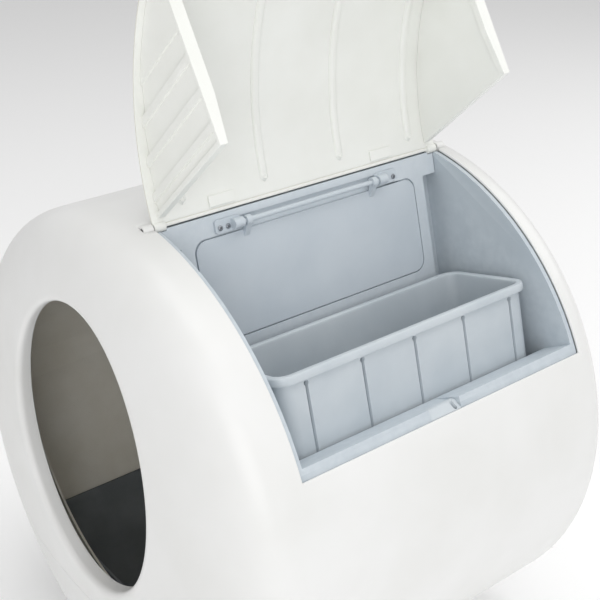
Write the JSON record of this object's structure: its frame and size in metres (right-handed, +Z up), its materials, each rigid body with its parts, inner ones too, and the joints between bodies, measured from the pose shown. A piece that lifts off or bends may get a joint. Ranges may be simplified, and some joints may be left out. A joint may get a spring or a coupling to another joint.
{
  "type": "cat litter box with hood",
  "caption": "Barrel-shaped hooded cat litter box with an oval front entrance, and a waste bay with a bin, a hanging flap and a hinged lid in its side.",
  "frame": {"origin": "on the floor, under the middle of the barrel's footprint with the lid open as pictured", "axes": "+Z up; -Y towards the entrance, along the barrel's axis; +X towards the bay and its lid"},
  "size_m": [0.56, 0.4778, 0.8163],
  "materials": {
    "shell_white": "satin moulded plastic",
    "lid_white": "satin moulded plastic, warmer white",
    "bay_grey": "fine-textured moulded plastic",
    "bin_grey": "satin moulded plastic",
    "chamber_white": "satin moulded plastic",
    "pan_charcoal": "fine-textured moulded plastic",
    "black_plastic": "moulded plastic",
    "button_grey": "moulded plastic",
    "foot_rubber": "moulded rubber",
    "steel": "turned steel",
    "zinc": "zinc plated",
    "circuit_board": "solder mask"
  },
  "bodies": {
    "root": {"hood_shell": "shell_white", "base_shell": "shell_white", "rear_panel": "shell_white", "hinge_lug_left": "shell_white", "hinge_lug_right": "shell_white", "bay_tub": "bay_grey", "partition_panel": "bay_grey", "rod_bracket_left": "bay_grey", "rod_bracket_right": "bay_grey", "flap_rod": "bay_grey", "latch_catch": "bay_grey", "waste_bin": "bin_grey", "chamber_liner": "chamber_white", "litter_pan": "pan_charcoal", "power_inlet": "black_plastic", "foot_1": "foot_rubber", "foot_2": "foot_rubber", "foot_3": "foot_rubber", "foot_4": "foot_rubber", "motor": "steel", "lid_pin_left": "steel", "lid_pin_right": "steel", "gearbox": "zinc", "rear_screw_1": "zinc", "rear_screw_2": "zinc", "rear_screw_3": "zinc", "rear_screw_4": "zinc", "bracket_screw_1": "zinc", "bracket_screw_2": "zinc", "bracket_screw_3": "zinc", "bracket_screw_4": "zinc", "control_board": "circuit_board"},
    "lid": {"lid_skin": "lid_white", "lid_end_wall_left": "lid_white", "lid_end_wall_right": "lid_white", "lid_rib_1": "lid_white", "lid_rib_2": "lid_white", "lid_rib_3": "lid_white", "lid_rib_4": "lid_white", "lid_tab_left": "lid_white", "lid_tab_right": "lid_white", "latch_hook": "lid_white"},
    "flap": {"flap": "bay_grey"},
    "rake": {"rake_arm": "pan_charcoal", "rake_comb": "pan_charcoal", "drive_shaft": "steel"},
    "button": {"power_button": "button_grey"}
  },
  "joints": [
    {"name": "lid_hinge", "type": "hinge", "parent": "root", "child": "lid", "pos_m": [0.03395, 0.02445, 0.54982], "axis": [0, -1, 0], "range_deg": [-118.5, 0]},
    {"name": "flap_hinge", "type": "hinge", "parent": "root", "child": "flap", "pos_m": [0.04616, 0.02445, 0.53724], "axis": [0, -1, 0], "range_deg": [0, 50]},
    {"name": "rake_turn", "type": "hinge", "parent": "root", "child": "rake", "pos_m": [0, 0, 0.2733], "axis": [0, 1, 0], "range_deg": [0, 240]},
    {"name": "power_button_press", "type": "slide", "parent": "root", "child": "button", "axis": [0, -1, 0], "range_m": [0, 0.0015], "stiffness_N_per_m": 400}
  ]
}
